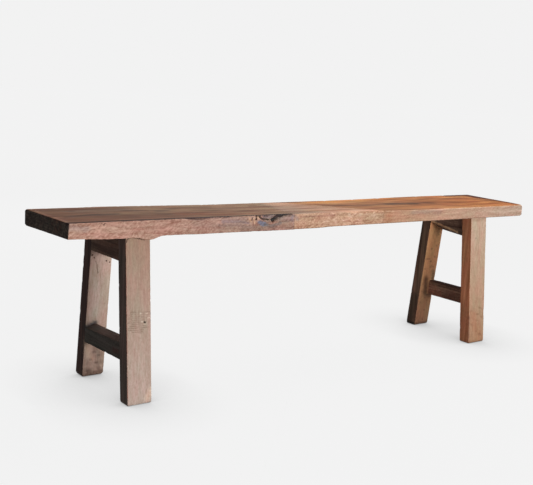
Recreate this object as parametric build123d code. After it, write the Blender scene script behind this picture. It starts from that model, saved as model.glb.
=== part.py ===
"""Farmhouse bench: a plank seat spliced from three lengths, carried on two splayed trestles.

Millimetres, +Z up. The origin is on the floor under the middle of the seat. +X runs along the
seat and -Y is the front. Each trestle is two legs, a top rail and a stretcher, put together with
pegged blind tenons, and screws through the top rails hold the seat.
"""

import os
from dataclasses import dataclass

from build123d import *

# Seat plank
SEAT_LENGTH = 1640.0
SEAT_WIDTH = 238.0
SEAT_HEIGHT = 450.0
SEAT_THICKNESS = 42.0
SEAT_ARRIS = 5.0

# Seat joints: where each one meets the front and the back edge of the seat, along X
LEFT_JOINT_FRONT = -165.0
LEFT_JOINT_BACK = -130.0
RIGHT_JOINT_FRONT = 175.0
RIGHT_JOINT_BACK = -55.0

# Loose tongue in each seat joint
TONGUE_THICKNESS = 14.0
TONGUE_REACH = 25.0
TONGUE_EDGE_WALL = 24.0

# Trestles: outer faces in from the seat's ends, and half the stance over the legs' outer faces
LEFT_INSET = 154.0
RIGHT_INSET = 166.0
STANCE_TOP = 106.0
STANCE_FOOT = 143.5

# Legs: depth across the seat, and each leg's own width along it
LEG_DEPTH = 39.0
LEFT_FRONT_WIDTH = 67.0
LEFT_BACK_WIDTH = 62.0
RIGHT_FRONT_WIDTH = 74.0
RIGHT_BACK_WIDTH = 66.0
LEG_ARRIS = 4.0

# Top rails and stretchers
LEFT_RAIL_HEIGHT = 62.0
RIGHT_RAIL_HEIGHT = 67.0
LEFT_STRETCHER_THICKNESS = 29.0
LEFT_STRETCHER_BOTTOM = 102.0
LEFT_STRETCHER_HEIGHT = 45.0
RIGHT_STRETCHER_THICKNESS = 24.0
RIGHT_STRETCHER_BOTTOM = 114.0
RIGHT_STRETCHER_HEIGHT = 50.0
RAIL_ARRIS = 3.0

# Wane on the right top rail's lower inner corner: height at each end, and reach at the back end
WANE_BACK_HEIGHT = 29.0
WANE_FRONT_HEIGHT = 4.0
WANE_REACH = 58.0

# Blind tenons
RAIL_TENON_THICKNESS = 20.0
RAIL_TENON_HEIGHT = 28.0
RAIL_TENON_TOP_SHOULDER = 14.0
STRETCHER_TENON_THICKNESS = 12.0
STRETCHER_TENON_SHOULDER = 8.0
MORTISE_END_WALL = 11.0
MORTISE_END_GAP = 1.0

# Wooden pegs, driven from the +X side of each leg
PEG_DIAMETER = 9.0
PEG_END_WALL = 12.0
PEG_CHAMFER = 1.0

# Seat screws, in counterbored holes
SCREW_SPACING = 72.0
SCREW_DIAMETER = 6.0
SCREW_LENGTH = 60.0
SCREW_GRIP = 34.0
SCREW_POINT = 8.0
SCREW_HEAD_DIAMETER = 12.0
SCREW_HEAD_HEIGHT = 4.0
SCREW_SLOT_WIDTH = 1.6
SCREW_SLOT_DEPTH = 1.8
COUNTERBORE_DIAMETER = 16.0
PILOT_END_GAP = 2.0

# Clearance on each face of a tongue, tenon, peg or screw in its hole
FIT = 0.15

UNDERSIDE = SEAT_HEIGHT - SEAT_THICKNESS
SEAT_MIDDLE = SEAT_HEIGHT - SEAT_THICKNESS / 2
HALF_LENGTH = SEAT_LENGTH / 2
HALF_WIDTH = SEAT_WIDTH / 2
FRONT, BACK = -1, 1


@dataclass
class Trestle:
    """One end frame: inward is +1 where the middle of the bench lies on its +X side."""

    outer_x: float
    inward: int
    front_width: float
    back_width: float
    rail_height: float
    stretcher_thickness: float
    stretcher_bottom: float
    stretcher_height: float

    def span(self, width):
        """X range of a piece of this width that is flush with the outer faces."""
        return sorted((self.outer_x, self.outer_x + self.inward * width))

    def leg_span(self, side):
        return self.span(self.front_width if side == FRONT else self.back_width)

    def rail_span(self):
        return self.span(min(self.front_width, self.back_width))

    def stretcher_span(self):
        return self.span(self.stretcher_thickness)


TRESTLES = {
    "left": Trestle(
        -HALF_LENGTH + LEFT_INSET, 1, LEFT_FRONT_WIDTH, LEFT_BACK_WIDTH,
        LEFT_RAIL_HEIGHT, LEFT_STRETCHER_THICKNESS, LEFT_STRETCHER_BOTTOM, LEFT_STRETCHER_HEIGHT,
    ),
    "right": Trestle(
        HALF_LENGTH - RIGHT_INSET, -1, RIGHT_FRONT_WIDTH, RIGHT_BACK_WIDTH,
        RIGHT_RAIL_HEIGHT, RIGHT_STRETCHER_THICKNESS, RIGHT_STRETCHER_BOTTOM, RIGHT_STRETCHER_HEIGHT,
    ),
}


def prism(span, outline):
    """Solid with a (y, z) outline, extruded over an X range."""
    start, end = span
    wire = Polyline(*[(start, y, z) for y, z in outline], close=True)
    return extrude(make_face(wire), amount=end - start, dir=(1, 0, 0))


def plan_block(outline, bottom, top):
    """Solid with an (x, y) outline, extruded over a height range."""
    wire = Polyline(*[(x, y, bottom) for x, y in outline], close=True)
    return extrude(make_face(wire), amount=top - bottom, dir=(0, 0, 1))


def grown(span, margin):
    return span[0] - margin, span[1] + margin


def about(centre, width):
    return centre - width / 2, centre + width / 2


def middle(span):
    return sum(span) / 2


def leg_face(height):
    """Distance of a leg's outer face from the middle plane at a height."""
    return STANCE_FOOT + (STANCE_TOP - STANCE_FOOT) * height / UNDERSIDE


def leg_slice(span, heights, near, far, side):
    """Block between two planes that lie near and far inside a leg's outer face."""
    bottom, top = heights
    outline = [
        (side * (leg_face(bottom) - far), bottom),
        (side * (leg_face(bottom) - near), bottom),
        (side * (leg_face(top) - near), top),
        (side * (leg_face(top) - far), top),
    ]
    return prism(span, outline)


def rail_body(span, heights):
    """Square rail between the inner faces of two legs, without its tenons."""
    bottom, top = heights
    low = leg_face(bottom) - LEG_DEPTH
    high = leg_face(top) - LEG_DEPTH
    return prism(span, [(-low, bottom), (low, bottom), (high, top), (-high, top)])


def x_rod(diameter, span, y, z):
    """Round rod along X."""
    start, end = span
    return Pos(middle(span), y, z) * Rot(0, 90, 0) * Cylinder(diameter / 2, end - start)


def z_rod(diameter, heights, x, y):
    """Round rod along Z."""
    bottom, top = heights
    return Pos(x, y, middle(heights)) * Cylinder(diameter / 2, top - bottom)


# Seat


def joint_x(front_x, back_x, y):
    """Where a seat joint is along X, at a distance across the seat."""
    return front_x + (back_x - front_x) * (y + HALF_WIDTH) / SEAT_WIDTH


def joint_band(front_x, back_x, left, right, half_width):
    """Plan outline along a seat joint, widened to its left and right."""
    front = joint_x(front_x, back_x, -half_width)
    back = joint_x(front_x, back_x, half_width)
    return [
        (front - left, -half_width), (front + right, -half_width),
        (back + right, half_width), (back - left, half_width),
    ]


JOINTS = {
    "left": (LEFT_JOINT_FRONT, LEFT_JOINT_BACK),
    "right": (RIGHT_JOINT_FRONT, RIGHT_JOINT_BACK),
}


def splice_tongue(joint, clearance=0.0):
    """Loose tongue along a joint, or with a clearance the groove that takes it."""
    run = joint[1] - joint[0]
    slant = (run ** 2 + SEAT_WIDTH ** 2) ** 0.5 / SEAT_WIDTH
    reach = TONGUE_REACH * slant + clearance
    half_width = HALF_WIDTH - TONGUE_EDGE_WALL + clearance
    bottom, top = grown(about(SEAT_MIDDLE, TONGUE_THICKNESS), clearance)
    return plan_block(joint_band(*joint, reach, reach, half_width), bottom, top)


def seat_blank():
    plank = Pos(0, 0, SEAT_MIDDLE) * Box(SEAT_LENGTH, SEAT_WIDTH, SEAT_THICKNESS)
    plank = fillet(plank.edges(), SEAT_ARRIS)
    for tongue_joint in JOINTS.values():
        plank -= splice_tongue(tongue_joint, FIT)
    for trestle in TRESTLES.values():
        for x, y in screw_places(trestle):
            plank -= z_rod(SCREW_DIAMETER + 2 * FIT, (UNDERSIDE, pilot_top()), x, y)
    return plank


def seat_boards():
    """The three lengths, cut from one blank along the joints."""
    plank = seat_blank()
    beyond = SEAT_LENGTH
    left_of_left = plan_block(joint_band(*JOINTS["left"], beyond, 0, HALF_WIDTH), UNDERSIDE, SEAT_HEIGHT)
    right_of_right = plan_block(joint_band(*JOINTS["right"], 0, beyond, HALF_WIDTH), UNDERSIDE, SEAT_HEIGHT)
    return {
        "seat_left_board": plank & left_of_left,
        "seat_splice_piece": plank - left_of_left - right_of_right,
        "seat_right_board": plank & right_of_right,
    }


# Seat screws


def pilot_top():
    return UNDERSIDE + SCREW_LENGTH - SCREW_GRIP + PILOT_END_GAP


def screw_places(trestle):
    x = middle(trestle.rail_span())
    return [(x, -SCREW_SPACING / 2), (x, SCREW_SPACING / 2)]


def seat_screw(x, y):
    """Slotted wood screw, head down, its seat at the end of the counterbore."""
    seat = UNDERSIDE - SCREW_GRIP
    radius = SCREW_DIAMETER / 2
    shoulder = seat + SCREW_LENGTH - SCREW_POINT
    profile = Polyline(
        (0, 0, seat - SCREW_HEAD_HEIGHT),
        (SCREW_HEAD_DIAMETER / 2, 0, seat - SCREW_HEAD_HEIGHT),
        (SCREW_HEAD_DIAMETER / 2, 0, seat),
        (radius, 0, seat),
        (radius, 0, shoulder),
        (0, 0, seat + SCREW_LENGTH),
        close=True,
    )
    screw = revolve(make_face(profile), Axis.Z)
    slot = Box(SCREW_HEAD_DIAMETER, SCREW_SLOT_WIDTH, 2 * SCREW_SLOT_DEPTH)
    return Pos(x, y, 0) * (screw - Pos(0, 0, seat - SCREW_HEAD_HEIGHT) * slot)


# Trestle joinery


@dataclass
class Tenon:
    """A blind tenon's X and Z range, the same at both ends of its rail."""

    span: tuple
    heights: tuple

    def peg_z(self):
        return middle(self.heights)

    def peg_y(self):
        """Distance of the peg from the middle plane: half way along the tenon."""
        reach = LEG_DEPTH - MORTISE_END_WALL - MORTISE_END_GAP
        return leg_face(self.peg_z()) - LEG_DEPTH + reach / 2

    def solid(self, side):
        return leg_slice(self.span, self.heights, MORTISE_END_WALL + MORTISE_END_GAP, LEG_DEPTH, side)

    def mortise(self, side):
        span = grown(self.span, FIT)
        heights = grown(self.heights, FIT)
        return leg_slice(span, heights, MORTISE_END_WALL, LEG_DEPTH, side)


def rail_tenon(trestle):
    top = UNDERSIDE - RAIL_TENON_TOP_SHOULDER
    span = about(middle(trestle.rail_span()), RAIL_TENON_THICKNESS)
    return Tenon(span, (top - RAIL_TENON_HEIGHT, top))


def stretcher_heights(trestle):
    return trestle.stretcher_bottom, trestle.stretcher_bottom + trestle.stretcher_height


def stretcher_tenon(trestle):
    span = about(middle(trestle.stretcher_span()), STRETCHER_TENON_THICKNESS)
    return Tenon(span, grown(stretcher_heights(trestle), -STRETCHER_TENON_SHOULDER))


def peg_span(trestle, side):
    start, end = trestle.leg_span(side)
    return start + PEG_END_WALL, end


def peg(trestle, tenon, side):
    solid = x_rod(PEG_DIAMETER, peg_span(trestle, side), side * tenon.peg_y(), tenon.peg_z())
    inner_end = solid.faces().sort_by(Axis.X)[0]
    return chamfer(inner_end.edges(), PEG_CHAMFER)


def peg_hole(trestle, tenon, side):
    return x_rod(PEG_DIAMETER + 2 * FIT, peg_span(trestle, side), side * tenon.peg_y(), tenon.peg_z())


def pegs(trestle, tenon):
    return Compound(children=[peg(trestle, tenon, side) for side in (FRONT, BACK)])


# Trestle pieces


def leg(trestle, side):
    solid = leg_slice(trestle.leg_span(side), (0, UNDERSIDE), 0, LEG_DEPTH, side)
    long_edges = solid.edges().sort_by(SortBy.LENGTH)[-4:]
    foot_edges = solid.faces().sort_by(Axis.Z)[0].edges()
    solid = fillet(long_edges + foot_edges, LEG_ARRIS)
    for tenon in (rail_tenon(trestle), stretcher_tenon(trestle)):
        solid -= tenon.mortise(side)
        solid -= peg_hole(trestle, tenon, side)
    return solid


def with_tenons(rail, trestle, tenon):
    for side in (FRONT, BACK):
        rail += tenon.solid(side)
        rail -= peg_hole(trestle, tenon, side)
    return rail


def waned(rail, trestle):
    """Cut the natural edge of the log off the rail's lower inner corner."""
    bottom = UNDERSIDE - trestle.rail_height
    end = leg_face(bottom) - LEG_DEPTH
    inner = max(trestle.rail_span(), key=lambda x: abs(x - trestle.outer_x))
    back = Vector(inner, end, bottom + WANE_BACK_HEIGHT)
    front = Vector(inner, -end, bottom + WANE_FRONT_HEIGHT)
    under = Vector(inner - trestle.inward * WANE_REACH, end, bottom)
    normal = (front - back).cross(under - back)
    if normal.Z < 0:
        normal = -normal
    return split(rail, bisect_by=Plane(back, z_dir=normal), keep=Keep.TOP)


def lower_long_edges(solid):
    return solid.faces().sort_by(Axis.Z)[0].edges().filter_by(Axis.Y)


def top_rail(name):
    trestle = TRESTLES[name]
    span = trestle.rail_span()
    bottom = UNDERSIDE - trestle.rail_height
    rail = rail_body(span, (bottom, UNDERSIDE))
    rail = fillet(lower_long_edges(rail), RAIL_ARRIS)
    if name == "right":
        rail = waned(rail, trestle)
    rail = with_tenons(rail, trestle, rail_tenon(trestle))
    for x, y in screw_places(trestle):
        rail -= z_rod(SCREW_DIAMETER + 2 * FIT, (bottom, UNDERSIDE), x, y)
        rail -= z_rod(COUNTERBORE_DIAMETER, (bottom, UNDERSIDE - SCREW_GRIP), x, y)
    return rail


def stretcher(trestle):
    rail = rail_body(trestle.stretcher_span(), stretcher_heights(trestle))
    rail = fillet(rail.edges().filter_by(Axis.Y), RAIL_ARRIS)
    return with_tenons(rail, trestle, stretcher_tenon(trestle))


def bench_pieces():
    """Every piece of the bench by name."""
    pieces = seat_boards()
    for name, joint in JOINTS.items():
        pieces[name + "_splice_tongue"] = splice_tongue(joint)
    for name, trestle in TRESTLES.items():
        pieces[name + "_front_leg"] = leg(trestle, FRONT)
        pieces[name + "_back_leg"] = leg(trestle, BACK)
        pieces[name + "_top_rail"] = top_rail(name)
        pieces[name + "_stretcher"] = stretcher(trestle)
        pieces[name + "_top_rail_pegs"] = pegs(trestle, rail_tenon(trestle))
        pieces[name + "_stretcher_pegs"] = pegs(trestle, stretcher_tenon(trestle))
        pieces[name + "_seat_screws"] = Compound(
            children=[seat_screw(x, y) for x, y in screw_places(trestle)]
        )
    return pieces


os.makedirs("parts", exist_ok=True)
for piece_name, piece in bench_pieces().items():
    export_step(piece, f"parts/{piece_name}.step")
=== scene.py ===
"""Farmhouse bench of reclaimed timber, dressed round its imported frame.

Metres, in the frame's own axes: +X along the seat, -Y towards the front, +Z up. Every timber is a
block cut into small cells with rounded arrises, then bowed, rubbed, cracked and holed by moving
those cells. Colour follows the grain, and stains are attributes painted on the cells.
"""

import math
import random
from dataclasses import dataclass

import bmesh
import bpy
from mathutils import Matrix, Vector, noise


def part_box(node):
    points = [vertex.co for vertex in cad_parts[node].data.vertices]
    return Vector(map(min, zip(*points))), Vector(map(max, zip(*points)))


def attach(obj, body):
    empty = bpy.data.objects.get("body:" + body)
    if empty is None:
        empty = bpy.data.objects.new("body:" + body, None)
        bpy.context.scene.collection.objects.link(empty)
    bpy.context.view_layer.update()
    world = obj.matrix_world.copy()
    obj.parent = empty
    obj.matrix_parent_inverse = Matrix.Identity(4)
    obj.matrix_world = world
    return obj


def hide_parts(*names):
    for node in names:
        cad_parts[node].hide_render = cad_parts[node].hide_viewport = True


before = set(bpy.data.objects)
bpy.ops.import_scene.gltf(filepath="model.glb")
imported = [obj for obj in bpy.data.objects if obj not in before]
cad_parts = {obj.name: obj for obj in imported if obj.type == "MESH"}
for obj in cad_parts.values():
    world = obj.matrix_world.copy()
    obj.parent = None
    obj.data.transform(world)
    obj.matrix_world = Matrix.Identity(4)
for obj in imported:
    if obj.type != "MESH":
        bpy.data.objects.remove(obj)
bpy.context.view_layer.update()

MM = 0.001
BODY = "root"

# Camera, from the photograph's edges: place, turns in degrees, and the lens in image pixels
IMAGE_WIDTH = 533
SENSOR_WIDTH = 36.0
CAMERA_PLACE = Vector((-1.6825, -1.9601, 0.7679))
CAMERA_HEADING = 37.801
CAMERA_TILT = -9.544
CAMERA_ROLL = 3.445
FOCAL_PIXELS = 896.2


def linear(hex_colour):
    """sRGB hex to linear RGBA."""
    channels = [int(hex_colour[i:i + 2], 16) / 255 for i in (1, 3, 5)]
    curve = [c / 12.92 if c <= 0.04045 else ((c + 0.055) / 1.055) ** 2.4 for c in channels]
    return (*curve, 1.0)


def smooth_step(low, high, value):
    t = min(max((value - low) / (high - low), 0.0), 1.0)
    return t * t * (3 - 2 * t)


def between(start, end, share):
    return start + (end - start) * share


def vector_mm(x, y, z):
    return Vector((x, y, z)) * MM


# Materials


def new_tree(name):
    """A new material, its node tree and the shader in it."""
    material = bpy.data.materials.new(name)
    material.use_nodes = True
    return material, material.node_tree, material.node_tree.nodes["Principled BSDF"]


def add_node(tree, kind, inputs, **settings):
    """Add a node with its settings, and fill or link its inputs by name or number."""
    made = tree.nodes.new("ShaderNode" + kind)
    for key, value in settings.items():
        setattr(made, key, value)
    for key, value in inputs.items():
        if isinstance(value, bpy.types.NodeSocket):
            tree.links.new(value, made.inputs[key])
        else:
            made.inputs[key].default_value = value
    return made


def mix(tree, share, first, second, **settings):
    """Blend the second colour into the first by a share."""
    return add_node(tree, "Mix", {0: share, 6: first, 7: second}, data_type="RGBA", **settings).outputs[2]


def maths(tree, operation, *values):
    """Combine numbers or sockets by one operation."""
    return add_node(tree, "Math", dict(enumerate(values)), operation=operation).outputs[0]


# Turns that bring each grain direction onto the X axis of the pattern
GRAIN_TURN = {
    "X": (0, 0, 0),
    "Y": (0, 0, math.radians(-90)),
    "Z": (0, math.radians(90), 0),
}
# Slope of the curly strokes on a timber's sides
CURL_TURN = (0, math.radians(-25), 0)
# A wave texture's rings lie this far apart at a scale of one
WAVE_PERIOD = 0.314
RING = 7 * MM
# Faint tints of the pinker and the greyer patches, and the dark of the open pores
PINK_PATCH = "#fff0ea"
GREY_PATCH = "#f3f5ea"
PORE_BROWN = "#4a2f22"
# Size of the zinc's crystals
SPANGLE_SIZE = 1.5 * MM


@dataclass
class Look:
    """How one timber looks. The side and top colours run from its start to its end along the grain.

    The left colours are those of its dark and its light streaks on faces turned to -X. They paint
    shade there over the wood's own darker weathered face, and on the right front leg painted bounce
    light. vein is what the darkest figure leaves of the colour. The figure has shares of fine fibres,
    long streaks, broad bands on the top, curly strokes and flecks on the sides, and sway bends the grain.
    """

    grain: str
    start: float
    end: float
    side: tuple
    top: tuple
    # Colours of faces turned to -X: painted shade, and painted bounce light on the right front leg
    left: tuple
    vein: str = "#d5c6be"
    fibre: float = 0.5
    streak: float = 0.5
    band: float = 0.0
    curl: float = 0.0
    fleck: float = 0.5
    sway: float = 8 * MM


def old_timber(name, look):
    """Old hardwood, sawn, planed and rubbed with oil long ago.

    The eye gets faint fibres and streaks along the grain, curly strokes on the sides of the plank,
    rings on the sawn ends, short dark pores, patches that are pinker or greyer, and stains.
    """
    material, tree, shader = new_tree(name)
    place = add_node(tree, "TexCoord", {}).outputs["Object"]
    grain = add_node(tree, "Mapping", {"Vector": place, "Rotation": GRAIN_TURN[look.grain]}).outputs[0]

    # The grain wanders sideways over 160 mm of its length, and the curly strokes swirl within 50 mm
    courses = {}
    for course, size, reach in (
        ("bent", (0.16, 0.04, 0.04), (0, 2 * look.sway, 2 * look.sway)),
        ("swirled", (0.05, 0.05, 0.05), (0.035, 0.035, 0.035)),
    ):
        spot = add_node(tree, "Mapping", {"Vector": grain, "Scale": size}, vector_type="TEXTURE").outputs[0]
        drift = add_node(tree, "TexNoise", {"Vector": spot, "Scale": 1.0, "Detail": 1.0}).outputs["Color"]
        centred = add_node(
            tree, "VectorMath", {0: drift, 1: (0.5, 0.5, 0.5)}, operation="SUBTRACT",
        ).outputs[0]
        courses[course] = add_node(
            tree, "VectorMath", {0: centred, 1: reach, 2: grain}, operation="MULTIPLY_ADD",
        ).outputs[0]

    # Patterns by length, width and depth. Fibres, flecks and pores are coarser than life, so that they show
    patterns = {}
    for pattern, course, size, turn, detail in (
        ("fibre", "bent", (0.07, 0.0026, 0.0026), (0, 0, 0), 2.0),
        ("streak", "bent", (0.24, 0.011, 0.009), (0, 0, 0), 3.0),
        ("band", "bent", (0.30, 0.034, 0.02), (0, 0, 0), 3.0),
        ("curl", "swirled", (0.022, 0.0048, 0.0048), CURL_TURN, 2.0),
        ("fleck", "swirled", (0.007, 0.0045, 0.0045), (0, 0, 0), 1.0),
        ("pore", "bent", (0.016, 0.0012, 0.0012), (0, 0, 0), 1.0),
        ("patch", "bent", (0.07, 0.026, 0.022), (0, 0, 0), 2.0),
    ):
        spot = add_node(
            tree, "Mapping", {"Vector": courses[course], "Rotation": turn, "Scale": size},
            vector_type="TEXTURE",
        ).outputs[0]
        patterns[pattern] = add_node(
            tree, "TexNoise", {"Vector": spot, "Scale": 1.0, "Detail": detail, "Roughness": 0.55},
        ).outputs["Fac"]
    patterns["ring"] = add_node(
        tree, "TexWave",
        {"Vector": courses["bent"], "Scale": WAVE_PERIOD / RING, "Distortion": 2.5, "Detail": 2.0},
        wave_type="RINGS", rings_direction="X",
    ).outputs["Fac"]

    # Which way the face looks: up, sideways, to the left, or along the grain
    facing = add_node(tree, "NewGeometry", {}).outputs["Normal"]
    toward = add_node(tree, "SeparateXYZ", {0: facing}).outputs
    up = add_node(tree, "MapRange", {"Value": toward["Z"], "From Min": 0.5, "From Max": 0.9}).outputs[0]
    flank = maths(tree, "SUBTRACT", 1.0, up)
    # Faces turned to -X take the left colours, which paint shade on them, and bounce light on the right front
    # leg
    left_face_painted_shade = add_node(
        tree, "MapRange", {"Value": toward["X"], "From Min": -0.5, "From Max": -0.9},
    ).outputs[0]
    lengthwise = maths(tree, "ABSOLUTE", toward[look.grain])
    sawn_end = add_node(tree, "MapRange", {"Value": lengthwise, "From Min": 0.6, "From Max": 0.9}).outputs[0]

    # The figure is even where it is 0.5. Each pattern shifts it by its share, where its mask lets it
    figure = 0.5
    for pattern, share, mask in (
        ("fibre", look.fibre, 1.0),
        ("streak", look.streak, 1.0),
        ("band", look.band, up),
        ("curl", look.curl, flank),
        ("fleck", look.fleck, flank),
        ("ring", 0.3, sawn_end),
    ):
        centred = maths(tree, "SUBTRACT", patterns[pattern], 0.5)
        masked = maths(tree, "MULTIPLY", centred, mask)
        figure = maths(tree, "MULTIPLY_ADD", masked, share, figure)
    light = add_node(tree, "MapRange", {"Value": figure, "From Min": 0.3, "From Max": 0.7}).outputs[0]
    vein = mix(tree, light, linear(look.vein), (1, 1, 1, 1))
    patches = add_node(
        tree, "MapRange", {"Value": patterns["patch"], "From Min": 0.35, "From Max": 0.65},
    ).outputs[0]
    hue = mix(tree, patches, linear(PINK_PATCH), linear(GREY_PATCH))

    # Ground colour by the way the face looks and the place along the timber
    axis = add_node(tree, "SeparateXYZ", {0: grain}).outputs["X"]
    along = add_node(
        tree, "MapRange", {"Value": axis, "From Min": look.start, "From Max": look.end},
    ).outputs[0]
    streaked = add_node(
        tree, "MapRange", {"Value": patterns["streak"], "From Min": 0.35, "From Max": 0.65},
    ).outputs[0]
    grounds = []
    for pair, share in ((look.side, along), (look.top, along), (look.left, streaked)):
        first, last = [linear(h) for h in pair]
        grounds.append(mix(tree, share, first, last))
    side, top, left = grounds
    colour = mix(tree, up, side, top)
    # Painted shade on faces turned to -X: the left colours stand in for the ground colour there
    colour = mix(tree, left_face_painted_shade, colour, left)

    # Painted stains lie on the ground colour, and the figure and the pores show through them
    cover = add_node(tree, "Attribute", {}, attribute_name="cover").outputs["Fac"]
    stain = add_node(tree, "Attribute", {}, attribute_name="stain").outputs["Color"]
    colour = mix(tree, cover, colour, (0, 0, 0, 1))
    colour = mix(tree, 1.0, colour, stain, blend_type="ADD")
    for layer in (vein, hue):
        colour = mix(tree, 1.0, colour, layer, blend_type="MULTIPLY")
    pores = add_node(
        tree, "MapRange", {"Value": patterns["pore"], "From Min": 0.62, "From Max": 0.72, "To Max": 0.25},
    ).outputs[0]
    colour = mix(tree, pores, colour, linear(PORE_BROWN))
    tree.links.new(colour, shader.inputs["Base Color"])

    rough = add_node(
        tree, "MapRange",
        {"Value": patterns["fibre"], "From Min": 0.3, "From Max": 0.7, "To Min": 0.55, "To Max": 0.75},
    ).outputs[0]
    tree.links.new(rough, shader.inputs["Roughness"])
    shader.inputs["Specular IOR Level"].default_value = 0.3

    # Raised figure and open pores, a quarter of a millimetre deep
    relief = maths(tree, "SUBTRACT", figure, pores)
    bump = add_node(tree, "Bump", {"Height": relief, "Strength": 0.4, "Distance": 0.25 * MM}).outputs[0]
    tree.links.new(bump, shader.inputs["Normal"])
    return material


def zinc_steel():
    """Zinc-plated steel screw heads, dulled by years under a seat: grey, soft shine, faint spangle."""
    material, tree, shader = new_tree("zinc_plated_steel")
    place = add_node(tree, "TexCoord", {}).outputs["Object"]
    spangle = add_node(
        tree, "TexNoise", {"Vector": place, "Scale": 1 / SPANGLE_SIZE, "Detail": 3.0},
    ).outputs["Fac"]
    colour = mix(tree, spangle, linear("#7d7c78"), linear("#b3b2ac"))
    tree.links.new(colour, shader.inputs["Base Color"])
    rough = add_node(tree, "MapRange", {"Value": spangle, "To Min": 0.3, "To Max": 0.55}).outputs[0]
    tree.links.new(rough, shader.inputs["Roughness"])
    shader.inputs["Metallic"].default_value = 1.0
    return material


# Mesh work

# Worn arrises fade out over this distance from the edge
ARRIS_BAND = 5 * MM
# A row of cells this far inside each rounding keeps the flat of the face flat
HOLDING_ROW = 1 * MM
# Ends that are glued to a neighbour have a smaller rounding than this, and no wear
GLUED_ROUNDING = 1 * MM
# Wear comes back over this distance from a glued end
GLUED_FADE = 3 * MM
# No cell is longer than this
LONGEST_CELL = 6 * MM
# Sizes of the hollows, of the uneven rubbing and of the nicks that wear leaves
HOLLOW_SIZE = 90 * MM
RUBBING_SIZE = 45 * MM
NICK_SIZE = 12 * MM
# What they take off, in millimetres
HOLLOW_DEPTH = 0.3
ARRIS_LOSS = 0.6
NICK_DEPTH = 0.9
# Cells under a pressed mark are no longer than this share of its half width
MARK_CELL = 0.6
INTO_FRONT = Vector((0, 1, 0))


def cell_rows(length, low_round, high_round, cell):
    """Places of the cell rows along one side: close together in the roundings, even between them."""
    first = low_round + HOLDING_ROW
    last = length - high_round - HOLDING_ROW
    count = max(round((last - first) / cell), 1)
    even = [between(first, last, i / count) for i in range(count + 1)]
    return [0, low_round / 2, low_round, *even, length - high_round, length - high_round / 2, length]


def rounded_block(size, rounding, cell):
    """A block with one corner at the origin, cut into cells, with each arris rounded.

    rounding holds the radius at the low and the high side of each axis. The layer called arris
    says how near a cell is to an edge, and the one called held marks faces glued to a neighbour.
    """
    bm = bmesh.new()
    bmesh.ops.create_cube(bm, size=2)
    places = [cell_rows(size[a], *rounding[a], cell[a]) for a in range(3)]
    for axis in range(3):
        # Edges of the cube that still run the whole way along this axis
        edges = [e for e in bm.edges if abs(e.verts[0].co[axis] - e.verts[1].co[axis]) > 1.5]
        bmesh.ops.subdivide_edges(bm, edges=edges, cuts=len(places[axis]) - 2, use_grid_fill=True)
    arris = bm.verts.layers.float.new("arris")
    held = bm.verts.layers.float.new("held")
    bm.verts.layers.float.new("cover")
    bm.verts.layers.float_vector.new("stain")
    for v in bm.verts:
        point = Vector()
        inner = Vector()
        radius = Vector()
        free = []
        for a in range(3):
            low, high = rounding[a]
            point[a] = places[a][round((v.co[a] + 1) / 2 * (len(places[a]) - 1))]
            inner[a] = min(max(point[a], low), size[a] - high)
            radius[a] = low if point[a] < size[a] / 2 else high
            edge_gap = min(point[a], size[a] - point[a])
            glued = radius[a] < GLUED_ROUNDING
            free.append(size[a] if glued else edge_gap)
            if glued:
                v[held] = max(v[held], 1 - smooth_step(0, GLUED_FADE, edge_gap))
        outward = Vector([(point[a] - inner[a]) / radius[a] for a in range(3)]).normalized()
        v.co = inner + outward * radius
        v[arris] = math.exp(-sorted(free)[1] / ARRIS_BAND)
    return bm


def put(bm, place):
    """Move every cell to its place in the bench."""
    for v in bm.verts:
        v.co = place(v.co)


def rub(bm, seed):
    """Wear the timber inwards: hollows all over, rubbed arrises and nicks along them."""
    arris = bm.verts.layers.float["arris"]
    held = bm.verts.layers.float["held"]
    bm.normal_update()
    moves = []
    for v in bm.verts:
        # Each timber has a part of the noise to itself
        here = v.co + Vector((seed, seed * 0.37, -seed * 0.71))
        dip = 0.5 + 0.5 * noise.noise(here / HOLLOW_SIZE)
        loss = 0.3 + 0.7 * abs(noise.noise(here / RUBBING_SIZE))
        chip = smooth_step(0.25, 0.6, noise.noise(here / NICK_SIZE))
        depth = HOLLOW_DEPTH * dip + v[arris] * (ARRIS_LOSS * loss + NICK_DEPTH * chip)
        moves.append(v.normal * -depth * MM * (1 - v[held]))
    for v, move in zip(bm.verts, moves):
        v.co += move


def path_distance(point, path):
    """How far a point is from a path of straight runs, or from a single point."""
    nearest = (point - path[0]).length
    for start, end in zip(path, path[1:]):
        run = end - start
        share = min(max((point - start).dot(run) / run.length_squared, 0.0), 1.0)
        nearest = min(nearest, (point - start - run * share).length)
    return nearest


def cells_near(bm, path, reach):
    """The corners of the cells in a box round a path."""
    low = Vector([min(p[a] for p in path) - reach for a in range(3)])
    high = Vector([max(p[a] for p in path) + reach for a in range(3)])
    return [
        v for v in bm.verts
        if low.x < v.co.x < high.x and low.y < v.co.y < high.y and low.z < v.co.z < high.z
    ]


def refine(bm, path, reach, fine):
    """Split the cells within reach of a path until their edges are no longer than fine."""
    for _ in range(4):
        bm.edges.index_update()
        edges = {e.index: e for v in cells_near(bm, path, reach + LONGEST_CELL) for e in v.link_edges}
        coarse = []
        for index in sorted(edges):
            e = edges[index]
            middle = (e.verts[0].co + e.verts[1].co) / 2
            if e.calc_length() > fine and path_distance(middle, path) < reach:
                coarse.append(e)
        if not coarse:
            return
        bmesh.ops.subdivide_edges(bm, edges=coarse, cuts=1, use_grid_fill=True)


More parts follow.
